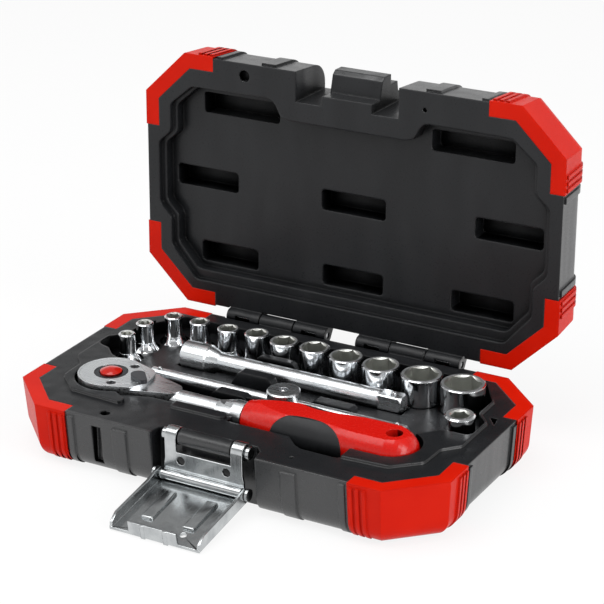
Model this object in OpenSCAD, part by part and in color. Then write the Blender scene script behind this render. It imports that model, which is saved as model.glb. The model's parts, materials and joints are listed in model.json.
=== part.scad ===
// Quarter-inch socket wrench set in a blow-moulded folding case.
// X runs along the case, Y towards the hinge, Z up; the origin is the centre of the case's
// underside. The lid stands open, the latch hangs open and every tool lies in its pocket.

/* [Case] */
// Length of the case along X
case_l = 188; // [186:1:192]
// Width of the case along Y
case_w = 107; // [106:1:110]
// Height of one closed half
half_h = 24.5; // [24.5:0.5:26]
// Length of the corner chamfer along X
chamfer_x = 18.7; // [16:0.1:20]
// Length of the corner chamfer along Y
chamfer_y = 18; // [16:0.1:20]
// Draft of the outer walls in degrees
wall_draft = 4; // [3:0.5:5]
// Radius between the outer walls and the flat outside face
edge_r = 9; // [7:0.5:10]
// Angle at which the open lid rests on its stop
lid_open = 92; // [90:1:95]

/* [Corner guards] */
// Reach of a guard from the case corner
guard_l = 32.2; // [30:0.1:34]
// Wall of a guard
guard_t = 2; // [1.6:0.1:2.4]
// Width of a guard's band on the rim
band_w = 5.6; // [5:0.1:6]
// How far a guard stands proud of the wall
guard_proud = 0.6; // [0.4:0.1:0.8]

/* [Tray] */
// Height of the raised deck over the rim
deck_rise = 1.2; // [0.8:0.1:1.4]
// Height of the socket shelf
shelf_z = 19; // [17:0.5:20]
// Play around a tool in its pocket
pocket_play = 0.4; // [0.3:0.1:0.6]

/* [Sockets] */
// Length of every socket
socket_l = 25; // [24:0.5:25.5]
// Height at which the sockets stand in their pockets
socket_z = 5.4; // [4:0.2:5.6]
// Body diameter of the slim sockets
socket_body_d = 11.6; // [11:0.1:11.8]
// Square drive across flats
drive = 6.35; // [6.3:0.05:6.35]

/* [Tools] */
// Length of the extension bar
extension_l = 100; // [96:1:100]
// Length of the sliding T-handle's rod
rod_l = 115; // [112:1:116]
// Diameter of the T-handle's rod
rod_d = 5; // [4.8:0.1:5.4]
// Diameter of the T-handle's sliding head
slider_d = 13.3; // [12.8:0.1:13.4]
// Diameter of the ratchet head
ratchet_d = 26.6; // [26:0.2:27]
// Length of the ratchet from the head's centre to the end of the grip
ratchet_reach = 136; // [134:1:137]

/* [Latch] */
// Width of the clasp plate
clasp_w = 39; // [38:0.5:40]
// Length of the clasp from its pivot to its lip
clasp_l = 34; // [33:0.5:34.5]
// Sheet thickness of the stamped steel
sheet = 1.2; // [1:0.1:1.2]
// Angle between the closed clasp and the resting one
clasp_open = 98.5; // [96:0.5:98.5]

/* [Hidden] */
$fn = 48;
xh = case_l / 2;
yh = case_w / 2;
seam = 0.4;
fit = 0.06;
hinge_y = yh + 2.8;
hinge_z = half_h + seam / 2;
knuckle_r = 3.2;
pin_r = 1.25;
// Inner and outer ends of the three knuckles in each hinge group
knuckles = [[7.2, 22.2], [22.7, 38.3], [38.8, 54.2]];
panel_h = 7.2;
ledge_h = 2.4;
// Outline of the raised deck, right half from the latch side to the hinge side
deck_half = [[70, -37.3], [80, -28], [80.5, -16], [86.3, -9.5], [86.3, 12], [80.8, 18], [80.8, 30],
             [70.5, 42]];
// Front edge of the deck, from the ratchet head's rail to the grip's lip
deck_front = [[-48, -38.5], [-48, -34.4], [-54, -31], [-60, -27], [51, -27], [51, -38.3]];
deck_edge_r = 3;
rail_end = [-48, -36.45];
// Small round dimples in the rims: X, Y and radius, in the base and in the lid
base_dimples = [[-46.9, -47.5, 2], [34.4, -46, 0.8]];
lid_dimples = [[-46.9, -48.3, 2.4], [34.6, -46.2, 0.9]];
dimple_depth = 2.5;
// Pads on the front wall, and half their width
pad_x = 37;
pad_half = 3.2;
// Finger scallop in front of the grip
scallop = [[20, -25], [23, -29.5], [30.5, -36.6], [34, -38.4], [50.3, -38.6], [50.3, -25]];
// Outline of the socket shelf
shelf_plan = [[-85.5, 4], [-79, 2], [-74, -3], [-50, -12], [64, -12], [74, -1.2], [84, -1.2],
              [85.5, 1], [85.5, 11.6], [80, 17.4], [80, 29.6], [70, 46], [-70, 46], [-80, 29.6],
              [-80, 17.4], [-85.5, 11.6]];
// Outline of the lid's hollow, right half from the latch side to the hinge side
hollow_half = [[26, -32.7], [30, -33.5], [34, -40.8], [72, -40.5], [82.9, -31.5], [82.9, -19.5],
               [88.7, -14.6], [88.7, 12.6], [83, 18.2], [83, 30.4], [71.6, 43.6]];
// Outline of the deeper panel inside that hollow
panel_half = [[25, -32.1], [29.5, -32.9], [33.4, -40.2], [70.6, -39.9], [80.9, -30.9], [80.9, -18.9],
              [86.5, -14], [86.5, 11.5], [80.9, 17], [80.9, 29], [71.5, 39.6]];
// Centre and length of the lid's deep pockets
lid_pockets = [[-52.4, -32.5, 36], [52.4, -32.5, 36], [-69, 0.5, 29.5], [0, 0.5, 29.5], [69, 0.5, 29.5],
               [-58.5, 32.8, 27.5], [0, 32.8, 28], [58.5, 32.8, 27.5]];
hollow_r = 4;
lid_pocket_w = 8.8;
lid_pocket_floor = 9.3;
latch_half = 22;
latch_y = -yh + 9;
notch_in = 11.2;
notch_out = 23.2;
bar_y = -48.8;
bar_z = 23.5;
bar_r = 3.3;
ear_r = 3.6;
latch_pin_r = 1.5;
// Half width of the barrel and of the link, and inner and outer ends of the link's ears
barrel_half = 11.4;
link_half = 17.6;
ear_in = 12;
ear_out = 17;
pin_head_r = 2.4;
link_hole_x = 10;
link_hole_z = 15;
link_hole_r = 1.7;
// Lip of the clasp from left to right, and the left edges of its two ribs
lip = [-11, 10];
lip_ribs = [-5.6, 4.2];
clasp_y = -53.8;
clasp_z = 8.9;
clasp_pin_r = 1.2;
clasp_off = 3.5;
knuckle_out = 2;
// Hexagon across flats, outside diameter, X and Y of each socket
sockets = [[4, 6.8, -74.5, 8.8], [4.5, 7.2, -74.1, 21.4], [5, 7.8, -67.4, 33.1], [5.5, 8.4, -54.7, 33.2],
           [6, 9, -40.7, 32.7], [7, 10.2, -27.8, 34], [8, 11.7, -14.1, 32.4], [9, 12.4, -0.2, 32.8],
           [10, 13.8, 15, 31.4], [11, 15.1, 31, 30.7], [12, 16.5, 49.2, 30.3], [13, 17.7, 67.2, 30.2]];
adaptor_x = 77.3;
adaptor_y = 6.7;
adaptor_d = 11.8;
adaptor_z = 4.4;
bit_af = 6.4;
bit_depth = 12;
magnet_r = 3;
hex_depth = 11;
extension_x = -52.3;
extension_y = 18.3;
extension_z = 22;
collar_r = 6;
collar_l = 17;
shaft_r = 3.75;
rod_x = -56;
rod_y = -1.3;
rod_z = 21;
slider_x = 5.2;
slider_h = 12.2;
slider_top = rod_z + 5.9;
// Places of the stop balls along the rod
stops = [4, rod_l - 4];
// Balls of the drive squares
ball_r = 1.08;
ball_seat_r = 1.2;
ball_from_end = 4.4;
ratchet_x = -62.9;
ratchet_y = -19.8;
ratchet_z = 21.6;
head_top = 27.3;
head_h = 12;
lever_x = 12.8;
lever_rest = -35;
grip_x = 62.5;
grip_flat = 8.2;
grip_neck_r = 7.4;
grip_swell = 3.1;
grip_waist = 1.1;
inlay_r = 24;
inlay_x = 93;
inlay_crown = 4;
gear_teeth = 36;
gear_r = 8.7;
tooth_h = 0.8;
collar_bore = 5.3;
neck_half = 4.5;
cover_t = 1.4;
pivot_r = 1.45;
// Pockets of the tray: room at a tool's end, seats of the rod, deep floor, slider channel
end_play = 0.8;
rod_seat = 5;
floor_z = 5.4;
channel = [rod_y - slider_d / 2 - 0.6, rod_y + slider_d / 2 + 0.6];
anvil_well_r = 5.6;
neck_trough = 7.4;
grip_trough = 11.6;
grip_floor = ratchet_z - grip_flat - 0.6;
// Slot in the front wall from left to right, and the small notch in the rim
wall_slot = [-49.9, -45.6];
rim_notch = [[84.2, 18.6], [88.4, 13.2], [87.4, 18.6]];
// Ratchet head: length of its taper, rim around the cover, tip of the cover under the lever
head_taper = 28;
head_play = 1.3;
cover_rim = 0.8;
cover_tip_r = 4.6;
sleeve_r = 6.5;
button_r = 4.4;
// Ferrule in front of the grip, and the tang inside it
ferrule_x = 50;
ferrule_r = 6;
tang_r = 3.6;
tang_end = ratchet_reach - 18;
hang_r = 3.2;
inlay_t = 2.2;
// Cover screws: shank radius and slope of the countersunk head
screw_r = 0.95;
screw_cone = 0.773;
// Screws of the cover, beside the button
screw_places = [[5.7, 8.46], [5.7, -8.46]];
// Distance of the chamfer's face from the centre and its direction
chamfer_a = atan2(chamfer_x, chamfer_y);
chamfer_d = xh * cos(chamfer_a) + (yh - chamfer_y) * sin(chamfer_a);

// ---------- helpers ----------

// A closed outline with every corner rounded to radius r by n flats
function rounded(p, r, n = 3) = [for (i = [0:len(p) - 1])
    let (a = p[(i + len(p) - 1) % len(p)], b = p[i], c = p[(i + 1) % len(p)],
         u = (a - b) / norm(a - b), v = (c - b) / norm(c - b), h = acos(u * v) / 2,
         d = min(r / tan(h), 0.45 * min(norm(a - b), norm(c - b))),
         m = b + (u + v) / norm(u + v) * d / cos(h), s = b + u * d - m, e = b + v * d - m,
         a0 = atan2(s[1], s[0]), turn = (atan2(e[1], e[0]) - a0 + 540) % 360 - 180)
    for (k = [0:n]) m + norm(s) * [cos(a0 + turn * k / n), sin(a0 + turn * k / n)]];

// A prism along Y whose section has drafted sides and rounded lower edges
module drafted_prism(half, grow) {
    a = wall_draft;
    xc = half + grow - (edge_r + (half_h - edge_r) * sin(a)) / cos(a);
    xt = xc + edge_r * cos(a);
    zt = edge_r - edge_r * sin(a);
    translate([0, 120, 0]) rotate([90, 0, 0]) linear_extrude(240) {
        polygon([[-xc, 0], [xc, 0], [xt, zt], [half + grow, half_h], [-half - grow, half_h], [-xt, zt]]);
        for (s = [-1, 1]) translate([s * xc, edge_r]) circle(edge_r);
    }
}

// One closed half of the case as a solid, its flat face down and its rim at half_h
module half_form(grow = 0) {
    intersection() {
        drafted_prism(xh, grow);
        rotate([0, 0, 90]) drafted_prism(yh, grow);
        rotate([0, 0, chamfer_a]) drafted_prism(chamfer_d, grow);
        rotate([0, 0, -chamfer_a]) drafted_prism(chamfer_d, grow);
    }
}

// Flat outline of the rim, moved in by a distance
module rim_outline(inset = 0) {
    intersection() {
        square([2 * (xh - inset), 2 * (yh - inset)], center = true);
        rotate(chamfer_a) square([2 * (chamfer_d - inset), 400], center = true);
        rotate(-chamfer_a) square([2 * (chamfer_d - inset), 400], center = true);
    }
}

// The square zone of one corner
module corner_zone(sx, sy, reach, z0, z1) {
    translate([sx * (xh - reach / 2 + 5), sy * (yh - reach / 2 + 5), (z0 + z1) / 2])
        cube([reach + 10, reach + 10, z1 - z0], center = true);
}

// The space that one guard fills, and with its own skin the guard itself
module guard_solid(sx, sy, proud) {
    difference() {
        intersection() {
            half_form(proud);
            corner_zone(sx, sy, guard_l, 1, half_h + 1);
        }
        difference() {
            half_form(-guard_t);
            difference() {
                translate([0, 0, half_h - 2]) linear_extrude(4) rim_outline(-5);
                translate([0, 0, half_h - 3]) linear_extrude(6) rim_outline(band_w);
            }
        }
    }
}

// Three grip ribs near each end of a guard
module guard_ribs(sx, sy) {
    intersection() {
        difference() {
            half_form(guard_proud + 0.7);
            half_form(-guard_t / 2);
        }
        union() for (k = [0:2]) {
            translate([sx * (xh - guard_l + 1.6 + 2.7 * k), sy * yh, half_h / 2])
                cube([1.5, 24, half_h - 3], center = true);
            translate([sx * xh, sy * (yh - guard_l + 1.6 + 2.7 * k), half_h / 2])
                cube([24, 1.5, half_h - 3], center = true);
        }
    }
}

module guard(sx, sy) {
    color("#D8281C") {
        guard_solid(sx, sy, guard_proud);
        guard_ribs(sx, sy);
    }
}

// Mirrored outline from its right half
function both_halves(h) = concat(h, [for (i = [len(h) - 1:-1:0]) [-h[i][0], h[i][1]]]);

// Places the lid, drawn closed over the base, in its open pose
module lid_pose() {
    translate([0, hinge_y, hinge_z]) rotate([-lid_open, 0, 0])
        translate([0, -hinge_y, -hinge_z]) children();
}

// Turns a half drawn with its rim up into the closed lid
module as_lid() {
    translate([0, 0, 2 * half_h + seam]) mirror([0, 0, 1]) children();
}

module along_x(x0, x1, y, z, r) {
    translate([x0, y, z]) rotate([0, 90, 0]) cylinder(h = x1 - x0, r = r);
}

module along_z(x, y, z0, z1, r) {
    translate([x, y, z0]) cylinder(h = z1 - z0, r = r);
}

module box(x0, x1, y0, y1, z0, z1) {
    translate([x0, y0, z0]) cube([x1 - x0, y1 - y0, z1 - z0]);
}

// ---------- base ----------

// Ribs and pads that stand on the dark walls beside the guards
module wall_ribs() {
    rx = xh - guard_l - 2.4;
    ry = yh - guard_l - 2.4;
    intersection() {
        half_form(0.8);
        union() for (s = [-1, 1]) {
            for (t = [-1, 1]) {
                box(s * rx - 1.3, s * rx + 1.3, t * yh - 8, t * yh + 8, 0.6, half_h - 1.5);
                box(s * xh - 8, s * xh + 8, t * ry - 1.3, t * ry + 1.3, 0.6, half_h - 1.5);
            }
            box(s * pad_x - pad_half, s * pad_x + pad_half, -yh - 8, -yh + 8, 0.6, half_h - 2.5);
        }
    }
}

module base_pockets() {
    // Shelf that carries the sockets
    translate([0, 0, shelf_z]) linear_extrude(half_h) polygon(rounded(shelf_plan, deck_edge_r));
    for (s = sockets)
        along_z(s[2], s[3], socket_z - 0.1, half_h + 4, max(s[1], socket_body_d) / 2 + pocket_play);
    along_z(adaptor_x, adaptor_y, adaptor_z - 0.1, half_h + 4, adaptor_d / 2 + pocket_play);
    // Extension
    along_x(extension_x - end_play, extension_x + collar_l, extension_y, extension_z,
            collar_r + pocket_play);
    box(extension_x - end_play, extension_x + collar_l, extension_y - collar_r - pocket_play,
        extension_y + collar_r + pocket_play, extension_z, half_h + 4);
    along_x(extension_x, extension_x + extension_l + 1, extension_y, extension_z, shaft_r + 1.15);
    // T-handle: a deep channel for the slider and a notch for each rod end
    box(rod_x + rod_seat, rod_x + rod_l - rod_seat, channel[0], channel[1], floor_z, half_h + 4);
    box(rod_x - end_play, rod_x + rod_l + end_play, rod_y - rod_d / 2 - pocket_play,
        rod_y + rod_d / 2 + pocket_play, rod_z - rod_d / 2 - 0.1, half_h + 4);
    // Scallop for a finger under the grip
    translate([0, 0, ratchet_z - grip_flat]) linear_extrude(half_h) polygon(rounded(scallop, 2));
    // Ratchet: head, anvil, neck and grip
    translate([ratchet_x, ratchet_y, 0]) {
        translate([0, 0, head_top - head_h - 0.1])
            tangent_block(ratchet_d / 2 + head_play, neck_half + head_play, head_taper, half_h);
        along_z(0, 0, floor_z + 0.2, half_h, anvil_well_r);
        box(0, grip_x + 2, -neck_trough, neck_trough, ratchet_z - neck_trough, half_h + 4);
        box(grip_x - 2, ratchet_reach - 9, -grip_trough, grip_trough, grip_floor, half_h + 4);
        along_z(ratchet_reach + 1 - grip_trough, 0, grip_floor, half_h + 4, grip_trough);
    }
}

// Block with sloping ends that stands between two tools
module mound(x0, x1, y0, y1, top, slope) {
    translate([0, y1, 0]) rotate([90, 0, 0]) linear_extrude(y1 - y0)
        polygon([[x0, 4], [x0, shelf_z - 1], [x0 + slope, top - 1], [x0 + slope + 1.5, top],
                 [x1 - slope - 1.5, top], [x1 - slope, top - 1], [x1, shelf_z - 1], [x1, 4]]);
}

module tray_blocks() {
    top = half_h + 1.5;
    mound(-24.5, -1.5, channel[1], channel[1] + 4.6, top, 4);
    mound(-24, -1, channel[0] - 4.8, channel[0], top, 4);
    mound(-25, 0, extension_y + 4.4, extension_y + 7.4, top, 4);
    mound(12, 33, channel[1], channel[1] + 5, rod_z, 1.5);
    // Tongue in front of the ratchet's neck
    box(-27.5, -6, ratchet_y - 12.2, ratchet_y - 7.6, 4, half_h + deck_rise);
    along_z(-6, ratchet_y - 9.9, 4, half_h + deck_rise, 2.3);
}

module base_shell() {
    color("#4A4C4E") difference() {
        union() {
            difference() {
                union() {
                    half_form();
                    wall_ribs();
                    // Raised deck inside the rim, with the round end of its rail
                    translate([0, 0, half_h - 1]) linear_extrude(1 + deck_rise) {
                        polygon(concat(deck_front, rounded(both_halves(deck_half), deck_edge_r)));
                        translate(rail_end) circle(2.05);
                    }
                }
                for (sx = [-1, 1], sy = [-1, 1]) guard_solid(sx, sy, 3);
                base_pockets();
                // Latch recess and its sloping jambs
                translate([0, 0, -1]) linear_extrude(half_h + 4)
                    polygon(both_halves([[latch_half + 2, -yh - 5], [latch_half, latch_y - 3],
                                         [latch_half - 3, latch_y]]));
                // Moulded slot in the front wall
                box(wall_slot[0], wall_slot[1], -yh - 5, -yh + 4, 5, half_h - 3.5);
                // Dimples in the rim
                for (d = base_dimples) along_z(d[0], d[1], half_h - dimple_depth, half_h + 2, d[2]);
                translate([0, 0, half_h - dimple_depth]) linear_extrude(5) polygon(rim_notch);
                // Room for the hinge knuckles
                along_x(-55, 55, hinge_y, hinge_z, knuckle_r + 0.4);
            }
            tray_blocks();
            // Barrel that carries the latch
            along_x(-barrel_half, barrel_half, bar_y, bar_z, bar_r);
            box(-barrel_half, barrel_half, bar_y, latch_y + 2, bar_z - 7, bar_z);
            for (s = [-1, 1]) knuckle(s, 1);
        }
        along_x(-60, 60, hinge_y, hinge_z, pin_r + fit);
        along_x(-20, 20, bar_y, bar_z, latch_pin_r + fit);
    }
}

// Knuckle k of the hinge group on side s, on an arm from the back wall
module knuckle(s, k) {
    x0 = s > 0 ? knuckles[k][0] : -knuckles[k][1];
    x1 = s > 0 ? knuckles[k][1] : -knuckles[k][0];
    along_x(x0, x1, hinge_y, hinge_z, knuckle_r);
    translate([x0, 0, 0]) rotate([90, 0, 90]) linear_extrude(x1 - x0)
        polygon([[yh - 4, half_h - 8], [hinge_y + 1.2, hinge_z - 2.9], [hinge_y, hinge_z],
                 [hinge_y - 3, hinge_z], [hinge_y - 3.4, half_h], [yh - 4, half_h]]);
}

// ---------- lid ----------

module lid_hollow() {
    translate([0, 0, half_h - ledge_h]) linear_extrude(ledge_h + 1)
        polygon(rounded(both_halves(hollow_half), hollow_r));
    translate([0, 0, half_h - panel_h]) linear_extrude(panel_h)
        polygon(rounded(both_halves(panel_half), hollow_r));
    for (p = lid_pockets) translate([p[0], p[1], lid_pocket_floor]) linear_extrude(half_h - panel_h)
        rounded_rect(p[2], lid_pocket_w, 1.6);
}

// Rectangle with true round corners
module rounded_rect(l, w, r) {
    square([l - 2 * r, w], center = true);
    square([l, w - 2 * r], center = true);
    for (sx = [-1, 1], sy = [-1, 1]) translate([sx * (l / 2 - r), sy * (w / 2 - r)]) circle(r);
}

// The lid with its rim up, before it is turned over
module lid_half() {
    difference() {
        union() {
            difference() {
                union() {
                    half_form();
                    wall_ribs();
                }
                for (sx = [-1, 1], sy = [-1, 1]) guard_solid(sx, sy, 3);
                lid_hollow();
                // Space in front of the keeper and the two deep notches beside it
                box(-notch_out, notch_out, -yh - 5, -45, -1, half_h + 1);
                for (s = [-1, 1])
                    box(s > 0 ? notch_in : -notch_out, s > 0 ? notch_out : -notch_in,
                        -yh - 5, -41, -1, half_h + 1);
                for (d = lid_dimples) along_z(d[0], d[1], half_h - dimple_depth, half_h + 2, d[2]);
                along_x(-55, 55, hinge_y, hinge_z, knuckle_r + 0.4);
            }
            keeper();
            for (s = [-1, 1], k = [0, 2]) knuckle(s, k);
        }
        along_x(-60, 60, hinge_y, hinge_z, pin_r + fit);
        // Windows that show the pin
        for (s = [-1, 1], k = [0, 2])
            translate([s * (knuckles[k][0] + knuckles[k][1]) / 2, hinge_y, hinge_z + 2.4])
                cube([7, 2.2, 4], center = true);
    }
}

// Nose that the clasp's lip catches, with the hollow above it for the lip
module keeper() {
    translate([-notch_in, 0, 0]) rotate([90, 0, 90]) linear_extrude(2 * notch_in)
        polygon([[-44, 1.5], [-49.4, 2.5], [-49.4, 8], [-53.5, 8.2], [-53.5, 13.4], [-52, 15.4],
                 [-44, 17.5]]);
}

module lid_shell() {
    color("#454749") lid_pose() as_lid() lid_half();
}

module lid_guard(sx, sy) {
    lid_pose() as_lid() guard(sx, sy);
}

module hinge_pins() {
    x0 = knuckles[0][0] + 0.4;
    x1 = knuckles[2][1] - 0.4;
    color("silver") for (s = [-1, 1])
        along_x(s > 0 ? x0 : -x1, s > 0 ? x1 : -x0, hinge_y, hinge_z, pin_r);
}

// ---------- latch ----------

module latch_pin() {
    color("gainsboro") {
        x0 = ear_out + 0.5;
        x1 = ear_out + 1.9;
        along_x(-x0 - 0.9, x0 + 0.9, bar_y, bar_z, latch_pin_r);
        for (s = [-1, 1]) along_x(s > 0 ? x0 : -x1, s > 0 ? x1 : -x0, bar_y, bar_z, pin_head_r);
    }
}

// Stamped link: a plate with two curled ears above and a curled knuckle below
module latch_link() {
    face = bar_y - ear_r;
    color("gainsboro") difference() {
        union() {
            translate([0, face + sheet, 0]) rotate([90, 0, 0]) linear_extrude(sheet)
                polygon([[-ear_out, bar_z], [-ear_out, 15], [-link_half, 12], [-link_half, clasp_z],
                         [link_half, clasp_z], [link_half, 12], [ear_out, 15], [ear_out, bar_z],
                         [ear_in, bar_z], [ear_in, 18.2], [-ear_in, 18.2], [-ear_in, bar_z]]);
            for (s = [-1, 1])
                along_x(s > 0 ? ear_in : -ear_out, s > 0 ? ear_out : -ear_in, bar_y, bar_z, ear_r);
            along_x(-link_half, link_half, clasp_y, clasp_z, knuckle_out);
        }
        along_x(-30, 30, bar_y, bar_z, latch_pin_r + fit);
        along_x(-30, 30, clasp_y, clasp_z, clasp_pin_r + fit);
        // Curl opening under each ear
        for (s = [-1, 1]) box(s * 14.5 - 3, s * 14.5 + 3, bar_y + 1, bar_y + 6, bar_z - 6, bar_z - 1.2);
        for (s = [-1, 1]) translate([s * link_hole_x, face + 3, link_hole_z]) rotate([90, 0, 0])
            cylinder(h = 6, r = link_hole_r);
    }
}

module clasp_pin() {
    x0 = clasp_w / 2 + 0.3;
    x1 = clasp_w / 2 + 1.3;
    color("gainsboro") {
        along_x(-x1, x1, clasp_y, clasp_z, clasp_pin_r);
        for (s = [-1, 1]) along_x(s > 0 ? x0 : -x1, s > 0 ? x1 : -x0, clasp_y, clasp_z, pin_head_r);
    }
}

// Clasp in its closed pose: a channel with side flanges and a hooked lip
module clasp_closed() {
    half = clasp_w / 2;
    difference() {
        union() {
            // Face plate, with its outside clasp_off in front of the pivot
            box(-half, half, -clasp_off, -clasp_off + sheet, -2.6, clasp_l);
            for (s = [-1, 1]) translate([s > 0 ? half - sheet : -half, 0, 0]) rotate([90, 0, 90])
                linear_extrude(sheet)
                    polygon([[-clasp_off, -2.6], [0.5, -2.6], [2.4, -0.6], [2.4, 3], [1.6, 8],
                             [1.6, clasp_l - 4.5], [-0.6, clasp_l - 0.6], [-clasp_off, clasp_l]]);
            // Hooked lip with two small ribs
            box(lip[0], lip[1], -clasp_off, 2.2, clasp_l - sheet, clasp_l);
            for (x = lip_ribs)
                box(x, x + 1.8, -clasp_off - 0.3, 2.2, clasp_l - sheet, clasp_l + 0.3);
        }
        along_x(-30, 30, 0, 0, clasp_pin_r + fit);
        translate([9, 4, clasp_l - 6]) rotate([90, 0, 0]) cylinder(h = 12, r = 1.3);
    }
}

module latch_clasp() {
    color("gainsboro") translate([0, clasp_y, clasp_z]) rotate([clasp_open, 0, 0]) clasp_closed();
}

// ---------- sockets ----------

// One socket standing on its drive end
module socket(i) {
    s = sockets[i];
    af = s[0];
    r = s[1] / 2;
    body_r = max(r, socket_body_d / 2);
    flare_r = 6;
    flare = body_r - r;
    flare_h = flare > 0 ? sqrt(flare_r * flare_r - (flare_r - flare) * (flare_r - flare)) : 0;
    neck_z = 13;
    color("silver") translate([s[2], s[3], socket_z]) difference() {
        rotate_extrude() {
            polygon([[0, 0], [body_r - 0.5, 0], [body_r, 0.5], [body_r, neck_z], [0, neck_z]]);
            polygon([[0, 0], [r, 0], [r, socket_l - 0.4], [r - 0.4, socket_l], [0, socket_l]]);
            if (flare > 0) difference() {
                translate([r - 1, neck_z - 1]) square([flare + 0.9, flare_h]);
                translate([r + flare_r, neck_z + flare_h]) circle(flare_r);
            }
        }
        // Hexagon with its bevelled mouth, clearance bore and square drive
        corner_r = af / 2 / cos(30);
        translate([0, 0, socket_l - hex_depth]) rotate(30) cylinder(h = 12, r = corner_r, $fn = 6);
        translate([0, 0, socket_l - 0.8]) cylinder(h = 1.4, r1 = af / 2 - 0.13, r2 = corner_r + 0.5);
        translate([0, 0, 7]) cylinder(h = 12, r = min(af / 2 - 0.28, 3));
        drive_hole();
    }
}

module bit_adaptor() {
    r = adaptor_d / 2;
    l = socket_l;
    color("silver") translate([adaptor_x, adaptor_y, adaptor_z]) difference() {
        rotate_extrude()
            polygon([[0, 0], [r - 0.5, 0], [r, 0.5], [r, l - 0.6], [r - 0.6, l], [0, l]]);
        translate([0, 0, l - bit_depth]) rotate(30) cylinder(h = 13, r = bit_af / 2 / cos(30), $fn = 6);
        translate([0, 0, l - 0.9]) cylinder(h = 1.8, r1 = 3.05, r2 = 4.9);
        translate([0, 0, l - bit_depth - 3]) cylinder(h = 4, r = magnet_r);
        drive_hole();
    }
}

module bit_magnet() {
    z = adaptor_z + socket_l - bit_depth;
    color("dimgray") along_z(adaptor_x, adaptor_y, z - 3, z - 0.4, magnet_r);
}

// ---------- extension and T-handle ----------

module extension_bar() {
    l = extension_l;
    color("lightgray") translate([extension_x, extension_y, extension_z]) rotate([90, 0, 90]) difference() {
        union() {
            rotate_extrude()
                polygon([[0, 0], [collar_r - 0.8, 0], [collar_r, 0.8], [collar_r, 11.6],
                         [collar_r - 0.7, 12.2], [collar_r - 0.9, 13.4], [shaft_r, 17],
                         [shaft_r, l - 10.4], [3, l - 9], [0, l - 9]]);
            translate([0, 0, l - 9]) drive_square(9);
        }
        drive_hole();
        translate([0, drive / 2 + 0.3, l - ball_from_end]) sphere(ball_seat_r);
    }
}

// Square hole for a drive square, from the plane z = 0 up
module drive_hole() {
    translate([0, 0, 3.9]) cube([drive + 0.1, drive + 0.1, 8.4], center = true);
}

// Square drive along Z from a neck of its own, with blunt corners and a bevelled end
module drive_square(h) {
    intersection() {
        translate([0, 0, h / 2 - 0.5]) cube([drive, drive, h + 1], center = true);
        rotate_extrude() polygon([[0, -1], [4.2, -1], [4.2, h - 1.2], [3.4, h], [0, h]]);
    }
}

module extension_ball() {
    color("white")
        translate([extension_x + extension_l - ball_from_end, extension_y, extension_z + drive / 2 + 0.2])
            sphere(ball_r);
}

module t_handle_rod() {
    r = rod_d / 2;
    color("lightgray") translate([rod_x, rod_y, rod_z]) rotate([90, 0, 90]) difference() {
        rotate_extrude()
            polygon([[0, 0], [r - 0.5, 0], [r, 0.6], [r, rod_l - 0.6], [r - 0.5, rod_l], [0, rod_l]]);
        for (x = stops) translate([0, r + 0.03, x]) sphere(1.12);
    }
}

module t_handle_stop_balls() {
    color("white") for (x = stops)
        translate([rod_x + x, rod_y, rod_z + rod_d / 2 - 0.1]) sphere(0.98);
}

module t_handle_slider() {
    r = slider_d / 2;
    h = slider_h;
    z0 = slider_top - h;
    color("lightgray") translate([slider_x, rod_y, 0]) difference() {
        union() {
            translate([0, 0, z0]) rotate_extrude()
                polygon([[0, 0], [r - 1.6, 0], [r, 1.4], [r, h - 0.5], [r - 0.5, h], [0, h]]);
            translate([0, 0, z0]) mirror([0, 0, 1]) drive_square(8.4);
        }
        along_x(-10, 10, 0, rod_z, rod_d / 2 + fit);
        along_z(0, 0, slider_top - 2.6, slider_top + 1, 1.9);
        translate([0, -drive / 2 - 0.3, z0 - ball_from_end]) sphere(ball_seat_r);
    }
}

module t_handle_detent_balls() {
    color("white") {
        translate([slider_x, rod_y, slider_top - 1.2]) sphere(1.35);
        translate([slider_x, rod_y - drive / 2 - 0.2, slider_top - slider_h - ball_from_end])
            sphere(ball_r);
    }
}

// ---------- ratchet ----------

// Block of two discs joined by straight sides a hair inside their common tangents
module tangent_block(r1, r2, d, h) {
    a = acos((r1 - r2) / d);
    k = 0.99;
    cylinder(h = h, r = r1);
    translate([d, 0, 0]) cylinder(h = h, r = r2);
    linear_extrude(h) polygon([for (s = [[1, 1], [-1, 1], [-1, -1], [1, -1]])
        let (r = s[0] > 0 ? k * r1 : k * r2) [(s[0] > 0 ? 0 : d) + r * cos(a), s[1] * r * sin(a)]]);
}

module at_ratchet() {
    translate([ratchet_x, ratchet_y, 0]) children();
}

module ratchet_body() {
    r = ratchet_d / 2;
    z0 = head_top - head_h;
    color("lightgray") at_ratchet() difference() {
        union() {
            translate([0, 0, z0]) tangent_block(r, neck_half, head_taper, head_h);
            along_neck(20, ferrule_x, neck_half, neck_half - 0.2);
            along_neck(ferrule_x, ferrule_x + 8, neck_half - 0.2, ferrule_r);
            along_neck(ferrule_x + 8, grip_x, ferrule_r, ferrule_r);
            along_neck(grip_x, tang_end, tang_r, tang_r);
        }
        // Reliefs above and below, where the head steps down to the neck
        for (z = [ratchet_z + neck_half, ratchet_z - neck_half - 6])
            translate([0, 0, z]) linear_extrude(6) difference() {
                translate([34, 0]) square([40, 40], center = true);
                translate([4, 0]) circle(14);
            }
        // Cover seat, gear chamber, pawl chamber, plunger bore and the hole for the anvil
        translate([0, 0, head_top - cover_t]) tangent_block(r - cover_rim, cover_tip_r + 0.1, lever_x, 3);
        along_z(0, 0, z0 + 1.8, head_top, gear_r + 0.3);
        along_z(lever_x, 0, z0 + 3.2, head_top, 4);
        along_x(lever_x, lever_x + 9.2, 0, head_top - 5, 1.2 + fit);
        along_z(0, 0, z0 - 1, head_top, collar_bore);
        for (p = screw_places) along_z(p[0], p[1], z0 + 4, head_top, screw_r + 0.05);
    }
}

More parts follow.
